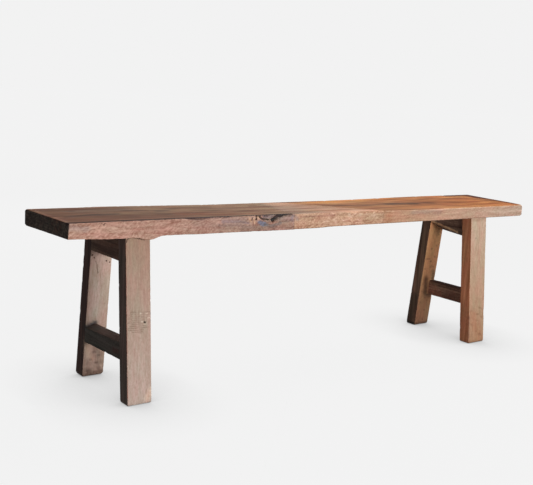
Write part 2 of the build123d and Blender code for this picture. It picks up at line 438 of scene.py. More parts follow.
def mark(bm, path, half_width, shade, cover, depth=0.0, soft=0.6, ragged=0.3, grit=(8, 8, 8)):
    """Stain the cells along a path, and press them in where there is a depth: a hole, crack or dent.

    Sizes are millimetres. soft is the share of the half width that fades out, and ragged breaks
    the edge up with noise that has grains of the size grit.
    """
    reach = half_width * (1 + ragged) * MM
    if depth:
        fine = MARK_CELL * half_width * MM
        refine(bm, path, reach + fine, fine)
    covers = bm.verts.layers.float["cover"]
    stains = bm.verts.layers.float_vector["stain"]
    paint = Vector(linear(shade)[:3])
    for v in cells_near(bm, path, reach):
        grain = Vector([v.co[a] / (grit[a] * MM) for a in range(3)])
        away = path_distance(v.co, path) / (half_width * MM) + ragged * noise.noise(grain)
        share = 1 - smooth_step(1 - soft, 1, away)
        if share > 0:
            v[covers] += (1 - v[covers]) * cover * share
            v[stains] = v[stains].lerp(paint, cover * share)
            v.co += INTO_FRONT * depth * MM * share


def finish_piece(name, bm, material):
    """Turn a bmesh into the piece that stands for a CAD node."""
    for layer in ("arris", "held"):
        bm.verts.layers.float.remove(bm.verts.layers.float[layer])
    bmesh.ops.triangulate(bm, faces=[f for f in bm.faces if len(f.verts) > 4])
    bmesh.ops.recalc_face_normals(bm, faces=bm.faces)
    for f in bm.faces:
        f.smooth = True
    mesh = bpy.data.meshes.new("worn_" + name)
    bm.to_mesh(mesh)
    bm.free()
    mesh.materials.append(material)
    piece = bpy.data.objects.new("worn_" + name, mesh)
    bpy.context.scene.collection.objects.link(piece)
    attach(piece, BODY)
    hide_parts(name)
    return piece


# Seat

SEAT_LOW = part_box("seat_left_board")[0]
SEAT_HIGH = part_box("seat_right_board")[1]
SEAT_DEPTH = SEAT_HIGH.y - SEAT_LOW.y
SEAT_THICKNESS = SEAT_HIGH.z - SEAT_LOW.z
SEAT_FRONT = SEAT_LOW.y / MM
SEAT_TOP = SEAT_HIGH.z / MM
CAD_ARRIS = 5 * MM
SHARP_ARRIS = 1.5 * MM
SOFT_ARRIS = 4 * MM
END_ROUNDING = 2 * MM
JOINT_ROUNDING = 0.4 * MM
# Radius, seen from the front, of the front corners at the seat's left and right ends
LEFT_CORNER = 4 * MM
RIGHT_CORNER = 8 * MM
# Radius of the back arrises at the seat's left end, which fades out along the plank
LEFT_BACK_ARRIS = 9 * MM
SEAT_CELL = (5 * MM, 5.5 * MM, 4 * MM)
LEFT_END_SKEW = 3 * MM
# What years of use have done to the plank, in millimetres
FRONT_DIP = 5.5
BACK_DIP = 4.2
END_LIFT = 4.5
LIP = 6.6
ARRIS_WEAR = 1.4
KNOT_SAG = 2.0
FLARE = 8.0
CORNER_LEAN = 2.4
# The lower the power, the closer to the front arris the front's dip gives way to the back's
DIP_POWER = 0.35
# Paths along the arris have a point this often, and wander over this length, in millimetres
ARRIS_STEP = 20
WANDER_LENGTH = 45
# Streaks on the top: noise with long grains along the seat
STREAK = dict(soft=1.0, ragged=0.9, grit=(70, 8, 8))


def joint_ends(node, side):
    """X of a board's joint at the front and the back, read off the frame's corners."""
    points = [v.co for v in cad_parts[node].data.vertices]
    half = SEAT_HIGH.y - CAD_ARRIS * 1.1
    front = [p.x for p in points if p.y < -half]
    back = [p.x for p in points if p.y > half]
    return (max(front), max(back)) if side > 0 else (min(front), min(back))


LEFT_END = (SEAT_LOW.x + LEFT_END_SKEW, SEAT_LOW.x)
RIGHT_END = (SEAT_HIGH.x, SEAT_HIGH.x)
LEFT_JOINT = joint_ends("seat_left_board", 1)
RIGHT_JOINT = joint_ends("seat_right_board", -1)


def bowed(point):
    """The seat's set after years of use: its top dips at the back middle and the front right."""
    x = point.x / MM
    front = FRONT_DIP * smooth_step(-150, 550, x)
    back = BACK_DIP * smooth_step(-650, -230, x) - BACK_DIP * smooth_step(150, 600, x)
    across = min(max((point.y - SEAT_LOW.y) / SEAT_DEPTH, 0.0), 1.0)
    height = (point.z - SEAT_LOW.z) / SEAT_THICKNESS
    drop = between(front, back, across ** DIP_POWER) * height
    lift = END_LIFT * smooth_step(-690, -815, x) * (1 - across) * (1 - height)
    # A lip of the front face hangs down beside the left front leg
    lip = LIP * smooth_step(-648, -608, x) * (1 - smooth_step(-604, -570, x))
    lip *= smooth_step(-100, -112, point.y / MM) * smooth_step(0.35, 0.0, height)
    # Its front bottom arris is worn away beyond the lip, and hangs a little lower under the knot
    worn = ARRIS_WEAR * smooth_step(-610, -570, x) * (1 - smooth_step(-520, -460, x))
    sag = KNOT_SAG * smooth_step(-420, -150, x) * (1 - smooth_step(-80, 0, x))
    hang = (sag - worn) * (1 - across) * (1 - height)
    # The plank is a little wider at its left end, and its left front corner isn't plumb
    flare = FLARE * (1 - smooth_step(-820, -520, x)) * across
    lean = CORNER_LEAN * (1 - smooth_step(-820, -780, x)) * (1 - across) * (1 - height)
    return point + vector_mm(-lean, flare, lift - drop - lip - hang)


def corner_loss(gap, radius):
    """How far a round corner falls away, this far from the end."""
    inside = max(radius - gap, 0.0)
    return radius - math.sqrt(radius ** 2 - inside ** 2)


def seat_board(left_ends, right_ends, end_rounding, arris, seed):
    """One length of the plank, between ends given as X at the front and at the back."""
    length = (sum(right_ends) - sum(left_ends)) / 2
    size = Vector((length, SEAT_DEPTH, SEAT_THICKNESS))
    bm = rounded_block(size, (end_rounding, (arris, SHARP_ARRIS), (arris, arris)), SEAT_CELL)

    def place(point):
        across = point.y / size.y
        start = between(left_ends[0], left_ends[1], across)
        stop = between(right_ends[0], right_ends[1], across)
        x = between(start, stop, point.x / length)
        loss = corner_loss(x - LEFT_END[1], LEFT_CORNER) + corner_loss(RIGHT_END[1] - x, RIGHT_CORNER)
        back_arris = LEFT_BACK_ARRIS * (1 - smooth_step(-780 * MM, -560 * MM, x))
        loss = loss * (1 - across) + corner_loss(size.y - point.y, back_arris)
        z = between(point.z, size.z / 2, 2 * loss / size.z)
        return bowed(Vector((x, SEAT_LOW.y + point.y, SEAT_LOW.z + z)))

    put(bm, place)
    rub(bm, seed)
    return bm


def on_front(*points):
    """Points on the seat's front face, given as X and Z in millimetres."""
    return [vector_mm(x, SEAT_FRONT, z) for x, z in points]


def on_top(*points):
    """Points on the seat's top, given as X and Y in millimetres."""
    return [bowed(vector_mm(x, y, SEAT_TOP)) for x, y in points]


def along_arris(start, end, inward, below, wander):
    """Points between two X that run inward of the seat's front top arris and below it, in millimetres."""
    count = round((end - start) / ARRIS_STEP)
    points = []
    for i in range(count + 1):
        x = between(start, end, i / count)
        shift = wander * noise.noise(Vector((x / WANDER_LENGTH, 0, 0)))
        points.append(bowed(vector_mm(x, SEAT_FRONT + inward + shift, SEAT_TOP - below + shift)))
    return points


# The rotten knot at the front arris of the left board, in X and Z on the front face
KNOT = (
    # path, half width, shade, cover, depth
    (((-395, 439), (-330, 438)), 12, "#8d7b78", 0.45, 0),
    (((-400, 438), (-345, 436), (-316, 430)), 4.5, "#85767e", 0.6, 0),
    (((-410, 428), (-340, 425), (-300, 418)), 4, "#84716f", 0.55, 0),
    (((-300, 426), (-175, 423)), 10, "#98705f", 0.5, 0),
    (((-335, 416), (-230, 414)), 12, "#84695f", 0.6, 0),
    (((-262, 441), (-180, 438)), 14, "#8b7d78", 0.6, 0),
    (((-314, 443), (-309, 434)), 3.8, "#d0ac92", 0.75, 0),
    (((-300, 442), (-297, 430)), 3.8, "#d0ac92", 0.75, 0),
    (((-291, 446), (-284, 444)), 4.5, "#d8b496", 0.7, 0),
    (((-285, 437), (-274, 436)), 4.5, "#c9a090", 0.8, 0),
    (((-268, 446), (-236, 445)), 6, "#84747e", 0.7, 1.5),
    (((-252, 446), (-246, 444)), 2.5, "#c4a8a0", 0.7, 0),
    (((-205, 437), (-178, 438)), 8, "#a08380", 0.6, 0),
    (((-170, 442), (-172, 434)), 8, "#7d7480", 0.5, 0),
    (((-282, 431), (-266, 427)), 8, "#5d7498", 0.75, 0),
    (((-266, 426), (-256, 423)), 4.5, "#6a7894", 0.7, 0),
    (((-262, 424), (-238, 421), (-209, 426)), 6, "#6a6466", 0.65, 0),
    (((-245, 427), (-226, 430)), 4, "#a5766a", 0.6, 0),
    (((-291, 450), (-292, 445), (-292, 439)), 3.0, "#1f1411", 0.9, 3),
    (((-286, 450), (-280, 447)), 3.5, "#3a2620", 0.8, 1.5),
    (((-304, 444), (-306, 437)), 2.2, "#3a2620", 0.75, 1),
    (((-283, 446), (-274, 440), (-252, 437.5)), 2.6, "#1f1411", 0.9, 2.5),
    (((-196, 450), (-208, 448), (-220, 444.5), (-230, 440), (-238, 435)), 7.5, "#120b09", 1.0, 5),
    (((-236, 438), (-240, 435)), 5.5, "#120b09", 0.9, 1),
)

# Streaks on the left board's top, in X and Y
LEFT_STREAKS = (
    # path, half width, shade, cover
    (((-723, 46), (-583, 51)), 45, "#75665b", 0.55),
    (((-800, -60), (-637, -84), (-540, -95)), 40, "#85543c", 0.5),
    (((-795, 100), (-710, 104)), 20, "#714733", 0.5),
    (((-470, -48), (-376, -60), (-270, -80)), 38, "#a0623a", 0.5),
    (((-795, 76), (-767, 69), (-730, 60)), 16, "#4c352a", 0.65),
    (((-782, -27), (-738, -15), (-690, -4)), 18, "#3a2820", 0.85),
    (((-684, -14), (-632, -6)), 18, "#4b382f", 0.7),
    (((-590, 39), (-541, 28)), 20, "#5a4335", 0.65),
    (((-507, 19), (-477, 23)), 20, "#54443b", 0.65),
    (((-533, -25), (-512, -41)), 18, "#5c463a", 0.6),
    (((-452, 50), (-426, 55)), 16, "#5c4839", 0.55),
    (((-632, -40), (-609, -56)), 18, "#6c3d2d", 0.5),
    (((-400, 10), (-330, 0), (-250, -20)), 20, "#7d6146", 0.45),
    (((-327, 44), (-272, 31)), 20, "#6a594b", 0.55),
    (((-192, 50), (-150, 42), (-118, 34)), 13, "#5f4a3b", 0.55),
)

CRACK_BROWN = "#3a130d"
# Marks along the arris: noise with grains drawn out along the seat
DRAWN_OUT = dict(soft=0.8, ragged=0.5, grit=(28, 6, 6))


def left_board():
    """Left length: a rotten knot, a long dark crack at the front arris and dark streaks on top."""
    bm = seat_board(LEFT_END, LEFT_JOINT, (END_ROUNDING, JOINT_ROUNDING), SHARP_ARRIS, seed=3.1)
    refine(bm, on_front((-322, 438), (-172, 438)), reach=18 * MM, fine=2.2 * MM)
    for path, half_width, shade, cover in LEFT_STREAKS:
        mark(bm, on_top(*path), half_width, shade, cover, **STREAK)
    mark(bm, on_front((-812, 441), (-772, 436)), 12, "#a08a90", 0.45, soft=0.9, ragged=0.5)
    mark(bm, on_top((-812, 70), (-810, -90)), 6, "#b98d78", 0.6, soft=0.8, ragged=0.5)
    mark(bm, on_front((-480, 430), (-340, 424)), 20, "#8f766e", 0.4, soft=1.0, ragged=0.5, grit=(30, 8, 8))
    for path, half_width, shade, cover, depth in KNOT:
        mark(bm, on_front(*path), half_width, shade, cover, depth, ragged=0.5, grit=(7, 7, 5))
    crack = []
    for start, end, inward in ((-814, -520, 9), (-500, -390, 6.5), (-370, -174, 9.5)):
        crack += along_arris(start, end, inward, 0, 0.8)
    refine(bm, crack, reach=9 * MM, fine=2.6 * MM)
    mark(bm, crack, 9, CRACK_BROWN, 1.0, soft=0.4, ragged=0.25, grit=(28, 6, 6))
    mark(bm, along_arris(-265, -185, 5.5, 0, 1), 7, "#120b09", 0.95, **DRAWN_OUT)
    mark(bm, along_arris(-200, -172, 1, 1.5, 0.5), 3, "#3a1712", 0.8, soft=0.8)
    mark(bm, on_front((-736, 447), (-731, 443), (-727, 447)), 1.6, "#4a2c22", 0.7, depth=1.0)
    return bm


def splice():
    """Insert at mid length: pale flecks in its curly front and a reddish crack fading out at its arris."""
    bm = seat_board(LEFT_JOINT, RIGHT_JOINT, (JOINT_ROUNDING, JOINT_ROUNDING), SOFT_ARRIS, seed=5.7)
    chance = random.Random(4)
    for _ in range(30):
        x = chance.triangular(-90, 160, 110)
        z = chance.uniform(412, 441)
        run = chance.uniform(4, 12)
        rise = chance.uniform(-3, 6)
        mark(bm, on_front((x, z), (x + run, z + rise)), chance.uniform(2.8, 4), "#e4cdbe", 0.6, soft=0.9)
    mark(bm, on_front((-160, 441), (-154, 434)), 9, "#7d7480", 0.5, soft=0.9, ragged=0.5)
    mark(bm, along_arris(-158, -20, 0, 8, 1.5), 3.2, "#7d4a3e", 0.6, **DRAWN_OUT)
    mark(bm, along_arris(40, 170, 0, 3, 1), 3.5, "#e0bda2", 0.5, **DRAWN_OUT)
    mark(bm, on_front((46, 409), (62, 409)), 3, "#4a2a1e", 0.7, depth=0.5)
    mark(bm, on_front((174, 446), (174, 411)), 2.2, "#e0c0a6", 0.6, soft=0.9)
    # The left board's stain has crept over the joint, and a pale line follows the other joint
    mark(bm, on_top((-152, -20), (-134, 50), (-118, 112)), 20, "#8a755f", 0.75, **STREAK)
    mark(bm, on_top((60, 0), (-44, 108)), 9, "#e2c2a4", 0.5, **STREAK)
    mark(bm, on_top((165, -108), (60, 0)), 8, "#ecd2b6", 0.7, soft=0.8)
    mark(bm, on_top((-91, 92), (-15, 37)), 45, "#d0a68c", 0.5, **STREAK)
    mark(bm, on_top((-60, -60), (40, -90)), 36, "#c08a62", 0.45, **STREAK)
    return bm


# Streaks on the right board's top, in X and Y
RIGHT_STREAKS = (
    # path, half width, shade, cover
    (((70, 104), (200, 95), (420, 92)), 34, "#cd8a46", 0.75),
    (((60, 28), (90, 15), (175, -3), (300, 8), (366, 5), (422, -7), (482, -15)), 32, "#6b4632", 0.75),
    (((260, -70), (420, -80)), 26, "#b06f36", 0.5),
    (((480, -16), (600, -30)), 24, "#8a5230", 0.5),
    (((520, 62), (620, 58), (700, 50), (740, 16), (765, -28)), 22, "#6d4530", 0.6),
    (((560, -60), (700, -80)), 34, "#c4813f", 0.5),
    (((700, 90), (800, 80)), 30, "#84543a", 0.5),
    (((-50, 114), (30, 104)), 13, "#5a3d2c", 0.8),
)


def right_board():
    """Right length: a dark heart streak on top, a pale rubbed front arris and a dark far corner."""
    bm = seat_board(RIGHT_JOINT, RIGHT_END, (JOINT_ROUNDING, END_ROUNDING), SOFT_ARRIS, seed=9.4)
    for path, half_width, shade, cover in RIGHT_STREAKS:
        mark(bm, on_top(*path), half_width, shade, cover, **STREAK)
    mark(bm, on_top((205, 8), (310, 0)), 34, "#6b4632", 0.45, soft=1.0)
    mark(bm, on_top((305, -2), (366, -8), (405, -17)), 30, "#3f2c24", 0.85, soft=1.0)
    mark(bm, on_top((700, 118), (800, 118), (792, 40)), 36, "#4e2416", 0.9)
    mark(bm, on_top((792, 60), (808, -90)), 32, "#5a2c1a", 0.8, soft=0.7)
    mark(bm, on_front((193, 446), (193, 412)), 22, "#a5683f", 0.25, soft=0.9)
    mark(bm, on_front((296, 438), (415, 438)), 13, "#978781", 0.5, soft=0.9, ragged=0.6, grit=(30, 8, 8))
    mark(bm, along_arris(180, 812, 0, 2, 0.6), 3.0, "#e4cab6", 0.7, soft=0.8, grit=(40, 6, 6))
    return bm


# Legs

LEG_ARRIS = 1.5 * MM
LEG_CELL = (4.5 * MM, 5 * MM, 5 * MM)
# Tops of legs and rails go this far up into the seat, and rails into legs, so that no gap opens
SUNK = 2.5 * MM
# Corners of a leg's crown lie no further than this under its top
CROWN_SLACK = 0.5 * MM


def leg_faces(node):
    """Front and back Y of a leg at the floor and at its crown, read off the frame's corners."""
    low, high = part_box(node)
    points = [v.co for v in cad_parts[node].data.vertices]
    crown_ys = [p.y for p in points if p.z > high.z - CROWN_SLACK]
    crown = (min(crown_ys), max(crown_ys))
    # The outermost corner lies on the splayed outer face, just above the rounded foot
    outward = 1 if low.y + high.y > 0 else -1
    corner = max(points, key=lambda p: p.y * outward)
    crown_outer = max(crown, key=lambda y: y * outward)
    splay = (corner.y - crown_outer) * high.z / (high.z - corner.z)
    return (crown[0] + splay, crown[1] + splay), crown


def leg(node, seed, foot_rounding):
    """A splayed leg, cut level at the floor and at the seat, with the edges of its foot worn round."""
    low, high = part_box(node)
    foot, crown = leg_faces(node)
    size = Vector((high.x - low.x, foot[1] - foot[0], high.z + SUNK))
    bm = rounded_block(size, ((LEG_ARRIS, LEG_ARRIS),) * 3, LEG_CELL)

    def place(point):
        lean = (crown[0] - foot[0]) * point.z / high.z
        inset = corner_loss(point.z, foot_rounding)
        x = between(point.x, size.x / 2, 2 * inset / size.x)
        y = between(point.y, size.y / 2, 2 * inset / size.y)
        return Vector((low.x + x, foot[0] + lean + y, point.z))

    put(bm, place)
    rub(bm, seed)
    return bm


def on_leg(node, *points):
    """Points on a leg's front face, given as X and Z in millimetres."""
    foot, crown = leg_faces(node)
    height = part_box(node)[1].z / MM
    return [vector_mm(x, between(foot[0], crown[0], z / height) / MM, z) for x, z in points]


def scatter_flecks(bm, node, chance, count, xs, zs, half_width, shade, cover):
    """Scatter short flecks over a part of a leg's front face, between two X and two Z."""
    for _ in range(count):
        x = chance.uniform(*xs)
        z = chance.uniform(*zs)
        mark(bm, on_leg(node, (x, z), (x + 2 * half_width, z)), half_width, shade, cover, soft=0.9)


def left_front_leg():
    """Rough saw marks across its face, with a nail hole among them, and a dark notch under the seat."""
    node = "left_front_leg"
    bm = leg(node, seed=11.3, foot_rounding=5 * MM)
    chance = random.Random(8)
    for i in range(11):
        z = 179 + 4.7 * i + chance.uniform(-0.4, 0.4)
        start = chance.uniform(-664, -650)
        end = chance.uniform(-625, -601)
        mark(bm, on_leg(node, (start, z + 1), (end, z - 1)), 1.4, "#7d6757", 0.4, depth=0.4, ragged=0.5)
    scatter_flecks(bm, node, chance, 7, (-632, -606), (190, 226), 2.2, "#f0e4da", 0.7)
    mark(bm, on_leg(node, (-610, 200), (-606, 200)), 2.2, "#f2e8df", 0.8, soft=0.9)
    mark(bm, on_leg(node, (-617, 201), (-616, 199)), 2.4, "#1f1613", 0.95, depth=4)
    mark(bm, on_leg(node, (-664, 397), (-662, 403), (-657, 406)), 1.6, "#3c2a20", 0.8, depth=0.8)
    mark(bm, on_leg(node, (-650, 407), (-606, 407)), 2.5, "#8a6550", 0.6, soft=0.9)
    mark(bm, on_leg(node, (-612, 12), (-602, 30)), 12, "#e0cab9", 0.6, soft=0.9)
    mark(bm, on_leg(node, (-666, 390), (-666, 20)), 2.6, "#b5705f", 0.7, soft=0.9, grit=(8, 8, 40))
    return bm


def left_back_leg():
    """Four nail holes and a slanting crack near its top, grease at the stretcher, and darker towards the
    foot.
    """
    node = "left_back_leg"
    bm = leg(node, seed=17.9, foot_rounding=9 * MM)
    mark(
        bm, on_leg(node, (-640, 262), (-640, 172)), 20, "#d0c8c2", 0.6,
        soft=1.0, ragged=0.5, grit=(12, 12, 40),
    )
    for x, z in ((-661, 333), (-655, 325), (-620, 315), (-610, 311)):
        mark(bm, on_leg(node, (x, z)), 2.4, "#2b1d17", 0.8, depth=4)
    mark(bm, on_leg(node, (-650, 316), (-646, 304), (-642, 284)), 1.7, "#6b564a", 0.5, depth=1.0, soft=0.8)
    mark(bm, on_leg(node, (-664, 138), (-641, 147)), 14, "#3a3a42", 0.9, soft=0.8)
    mark(bm, on_leg(node, (-660, 100), (-650, 60)), 16, "#d9bfae", 0.6, soft=1.0, ragged=0.5)
    mark(bm, on_leg(node, (-630, 78), (-618, 30)), 18, "#7a6a60", 0.65, soft=1.0, ragged=0.7)
    mark(bm, on_leg(node, (-640, 50)), 10, "#c0a08c", 0.6, soft=1.0, ragged=0.7)
    mark(bm, on_leg(node, (-655, 6), (-610, 6)), 24, "#5d463c", 0.7, soft=1.0, ragged=0.7)
    mark(bm, on_leg(node, (-664, 1), (-606, 1)), 6, "#2a211e", 0.85, soft=0.9)
    scatter_flecks(bm, node, random.Random(7), 24, (-658, -616), (10, 78), 3.0, "#4a3a33", 0.5)
    return bm


def right_front_leg():
    """A filled nail hole, a darker band where the seat shades it and specks low down."""
    node = "right_front_leg"
    bm = leg(node, seed=23.7, foot_rounding=5 * MM)
    # Painted shade: a darker band under the seat
    mark(bm, on_leg(node, (583, 402), (651, 402)), 9, "#86664f", 0.4, soft=0.9)
    mark(bm, on_leg(node, (604.8, 342)), 5, "#857a72", 0.8, depth=0.6, soft=0.9)
    mark(bm, on_leg(node, (600, 90), (630, 20)), 30, "#9a6f50", 0.45, soft=1.0, ragged=0.6)
    mark(bm, on_leg(node, (580, 90), (580, 8)), 8, "#54382a", 0.55, soft=1.0, ragged=0.6)
    mark(bm, [vector_mm(580, -105, 120), vector_mm(580, -118, 10)], 26, "#9a6046", 0.4, soft=0.9, ragged=0.5)
    mark(bm, on_leg(node, (584, 3), (650, 3)), 6, "#6b4a36", 0.6, soft=0.9)
    scatter_flecks(bm, node, random.Random(5), 16, (586, 642), (12, 120), 3.2, "#7a5840", 0.5)
    return bm


def right_back_leg():
    """Darker patches beside and below the stretcher, a greenish stain above it, specks, and darker at the
    foot.
    """
    node = "right_back_leg"
    bm = leg(node, seed=31.2, foot_rounding=6 * MM)
    mark(bm, on_leg(node, (598, 400), (630, 330)), 22, "#a58566", 0.5, soft=1.0)
    mark(bm, on_leg(node, (610, 166), (616, 118)), 18, "#46332a", 0.75, soft=0.9)
    mark(bm, on_leg(node, (640, 190), (645, 170)), 13, "#6d624b", 0.7, soft=0.9)
    mark(bm, on_leg(node, (618, 108), (640, 104)), 10, "#6b5746", 0.5, soft=0.9)
    mark(bm, on_leg(node, (592, 4), (650, 4)), 10, "#4d3c2f", 0.6, soft=0.9)
    mark(bm, [vector_mm(588, 116, 100), vector_mm(588, 124, 10)], 26, "#2e241d", 0.55, soft=0.8)
    mark(bm, [vector_mm(588, 112, 4), vector_mm(588, 140, 4)], 11, "#15120e", 0.8, soft=0.9)
    for x, z in ((625, 20), (606, 14)):
        mark(bm, on_leg(node, (x, z)), 5, "#2b271f", 0.7, soft=0.9)
    scatter_flecks(bm, node, random.Random(6), 26, (592, 644), (30, 290), 3.2, "#5a4230", 0.5)
    return bm


# Rails and stretchers

RAIL_ARRIS = 1.5 * MM
RAIL_CELL = (5 * MM, 5.5 * MM, 5 * MM)


def rail(node, side, seed, top_gap=0.0, shape=None):
    """A rail between the inner faces of a side's legs, a little way into each."""
    low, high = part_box(node)
    front_foot, front_crown = leg_faces(side + "_front_leg")
    back_foot, back_crown = leg_faces(side + "_back_leg")
    crown_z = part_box(side + "_front_leg")[1].z
    size = Vector((high.x - low.x, back_foot[0] - front_foot[1], high.z - low.z + top_gap))
    bm = rounded_block(size, ((RAIL_ARRIS, RAIL_ARRIS),) * 3, RAIL_CELL)

    def place(point):
        spot = Vector((low.x + point.x, point.y / size.y, low.z + point.z))
        if shape:
            spot = shape(spot, low, high)
        share = spot.z / crown_z
        front = between(front_foot[1], front_crown[1], share) - SUNK
        back = between(back_foot[0], back_crown[0], share) + SUNK
        spot.y = between(front, back, spot.y)
        return spot

    put(bm, place)
    rub(bm, seed)
    return bm


# Rise of the left stretcher's top at its outer and its inner edge, and of its bottom at the front and
# the back, in millimetres
TOP_RISE_FRONT = (1.8, 8.2)
TOP_RISE_BACK = (-7.5, 1.6)
BOTTOM_RISE = (3, -2.4)


def twisted(spot, low, high):
    """The left stretcher rises to the front, and its top is twisted."""
    height = (spot.z - low.z) / (high.z - low.z)
    inner = (spot.x - low.x) / (high.x - low.x)
    top = between(between(*TOP_RISE_FRONT, inner), between(*TOP_RISE_BACK, inner), spot.y)
    bottom = between(*BOTTOM_RISE, spot.y)
    spot.z += between(bottom, top, height) * MM
    return spot


def left_stretcher():
    """Greasy grey on top beside the back leg, and a reddish scuff near the front leg."""
    bm = rail("left_stretcher", "left", seed=47.0, shape=twisted)
    mark(bm, [vector_mm(-655, 92, 141), vector_mm(-650, 50, 145)], 17, "#63666a", 0.6, soft=0.9, ragged=0.5)
    mark(bm, [vector_mm(-666, -62, 122), vector_mm(-666, -86, 124)], 9, "#6b3a32", 0.55, soft=0.9, ragged=0.6)
    return bm


STRETCHER_DROP = 3.8 * MM


def sunk(spot, low, high):
    """The right stretcher has sunk a little in its mortises."""
    spot.z -= STRETCHER_DROP
    return spot


# Wane on the right top rail: its height at each end and its reach under the rail
WANE_HEIGHTS = (4 * MM, 29 * MM)
WANE_REACHES = (8 * MM, 58 * MM)


def waned(spot, low, high):
    """Bark edge left on the right top rail's lower inner corner, from nothing much to half its width."""
    height = between(*WANE_HEIGHTS, spot.y)
    reach = between(*WANE_REACHES, spot.y)
    inside = (spot.x - low.x) / reach + (spot.z - low.z) / height
    if inside < 1:
        spot.x += (1 - inside) * reach / 2
        spot.z += (1 - inside) * height / 2
    return spot


def right_top_rail():
    """The wane's upper arris is rubbed pale, and its pale colour also stands in for a highlight along it."""
    bm = rail("right_top_rail", "right", seed=43.0, top_gap=SUNK, shape=waned)
    arris = [vector_mm(588, 72, 371), vector_mm(588, -45, 351)]
    refine(bm, arris, reach=9 * MM, fine=2.5 * MM)
    # Pale worn wood along the wane's arris, made pale enough to be a painted highlight as well
    mark(bm, arris, 6, "#f5c8a0", 0.95)
    return bm


def right_stretcher():
    """Reddish at both legs, and darkest along the top."""
    bm = rail("right_stretcher", "right", seed=53.0, shape=sunk)
    mark(bm, [vector_mm(630, 90, 160), vector_mm(630, -90, 160)], 15, "#4a342a", 0.7, soft=0.9, ragged=0.5)
    for front, back, z in ((40, 80, 122), (-85, -55, 126)):
        scuff = [vector_mm(630, front, z), vector_mm(630, back, z)]
        mark(bm, scuff, 16, "#b86f58", 0.5, soft=0.9, ragged=0.6)
    return bm


COUNTERBORE_RADIUS = 8 * MM
SCREW_HEAD_HEIGHT = 4 * MM
DRILL_LENGTH = 60 * MM
DRILL_SIDES = 40


def counterbore(piece, screws):
    """Bore the holes that the seat screws' heads sit in, up to the seat of each head."""
    points = [v.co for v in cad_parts[screws].data.vertices]
    head_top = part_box(screws)[0].z + SCREW_HEAD_HEIGHT
    for side in (-1, 1):
        group = [p for p in points if p.y * side > 0]
        x = (min(p.x for p in group) + max(p.x for p in group)) / 2
        y = (min(p.y for p in group) + max(p.y for p in group)) / 2
        drill = bmesh.new()
        bmesh.ops.create_cone(
            drill, cap_ends=True, segments=DRILL_SIDES, depth=DRILL_LENGTH,
            radius1=COUNTERBORE_RADIUS, radius2=COUNTERBORE_RADIUS,
            matrix=Matrix.Translation((x, y, head_top - DRILL_LENGTH / 2)),
        )
        mesh = bpy.data.meshes.new("drill")
        drill.to_mesh(mesh)
        drill.free()
        cutter = bpy.data.objects.new("drill", mesh)
        bpy.context.scene.collection.objects.link(cutter)
        cut = piece.modifiers.new("bore", "BOOLEAN")
        cut.operation = "DIFFERENCE"
        cut.object = cutter
        bpy.context.view_layer.update()
        bored = bpy.data.meshes.new_from_object(piece.evaluated_get(bpy.context.evaluated_depsgraph_get()))
        piece.modifiers.remove(cut)
        piece.data = bored
        bpy.data.objects.remove(cutter)


# Timbers and their looks

# Each look's left pair gives the faces turned to -X painted shade, over the wood's own darker weathered
# colour there
PLANK = dict(grain="X", vein="#bfa89c", fibre=0.4, streak=0.7, band=1.7, curl=0.6, fleck=0.6, sway=12 * MM)

finish_piece(
    "seat_left_board", left_board(),
    old_timber("old_oiled_plank", Look(
        start=-0.82, end=-0.15, side=("#d2aa9c", "#a2867c"), top=("#855e45", "#9f836a"),
        left=("#413832", "#6b5f56"), **PLANK,
    )),
)
finish_piece(
    "seat_splice_piece", splice(),
    old_timber("peach_splice_wood", Look(
        start=-0.15, end=0.15, side=("#c0a18a", "#c0a18a"), top=("#9e8675", "#e2b499"),
        left=("#8d7a70", "#8d7a70"), **{**PLANK, "fibre": 0.25, "streak": 0.5},
    )),
)
finish_piece(
    "seat_right_board", right_board(),
    old_timber("orange_oiled_plank", Look(
        start=0.2, end=0.8, side=("#b7947b", "#c3aca0"), top=("#b4845a", "#c8854f"),
        left=("#8d7a70", "#8d7a70"), **{**PLANK, "fibre": 0.25, "streak": 0.5, "curl": 0.2, "fleck": 0.4},
    )),
)

LEG = dict(
    grain="Z", start=0.0, end=SEAT_LOW.z, top=("#b09080", "#b09080"), vein="#e0d6cf",
    fibre=0.9, streak=0.4, fleck=0.45, sway=4 * MM,
)

# The left pairs paint shade on the legs' faces turned to -X, and the right front leg's pair paints bounce
# light
for node, make, wood, side, left in (
    ("left_front_leg", left_front_leg, "grey_tan_leg", ("#c2b1ab", "#a38876"), ("#5b4f4a", "#8e7c77")),
    ("left_back_leg", left_back_leg, "pale_tan_leg", ("#a99389", "#d8c4bb"), ("#402b28", "#6c504b")),
    ("right_front_leg", right_front_leg, "warm_tan_leg", ("#a28268", "#bba696"), ("#ba7955", "#e09a76")),
    ("right_back_leg", right_back_leg, "brown_leg", ("#9e775f", "#f2b885"), ("#4b372b", "#7f6352")),
):
    finish_piece(node, make(), old_timber(wood, Look(side=side, left=left, **LEG)))

RAIL = dict(
    grain="Y", start=-0.1, end=0.1, side=("#8a7062", "#8a7062"), vein="#d0c2ba",
    fibre=0.6, streak=0.6, fleck=0.8, sway=5 * MM,
)
# The rails' left pairs paint shade on their faces turned to -X
grey_rail_wood = old_timber("grey_rail_wood", Look(
    top=("#786a66", "#786a66"), left=("#45433d", "#66615d"), **RAIL,
))
dark_rail_wood = old_timber("dark_rail_wood", Look(
    top=("#857066", "#857066"), left=("#6a5044", "#9c7f70"), **RAIL,
))
red_rail_wood = old_timber("red_rail_wood", Look(
    top=("#70544a", "#70544a"), left=("#926a5a", "#cda591"), **RAIL,
))

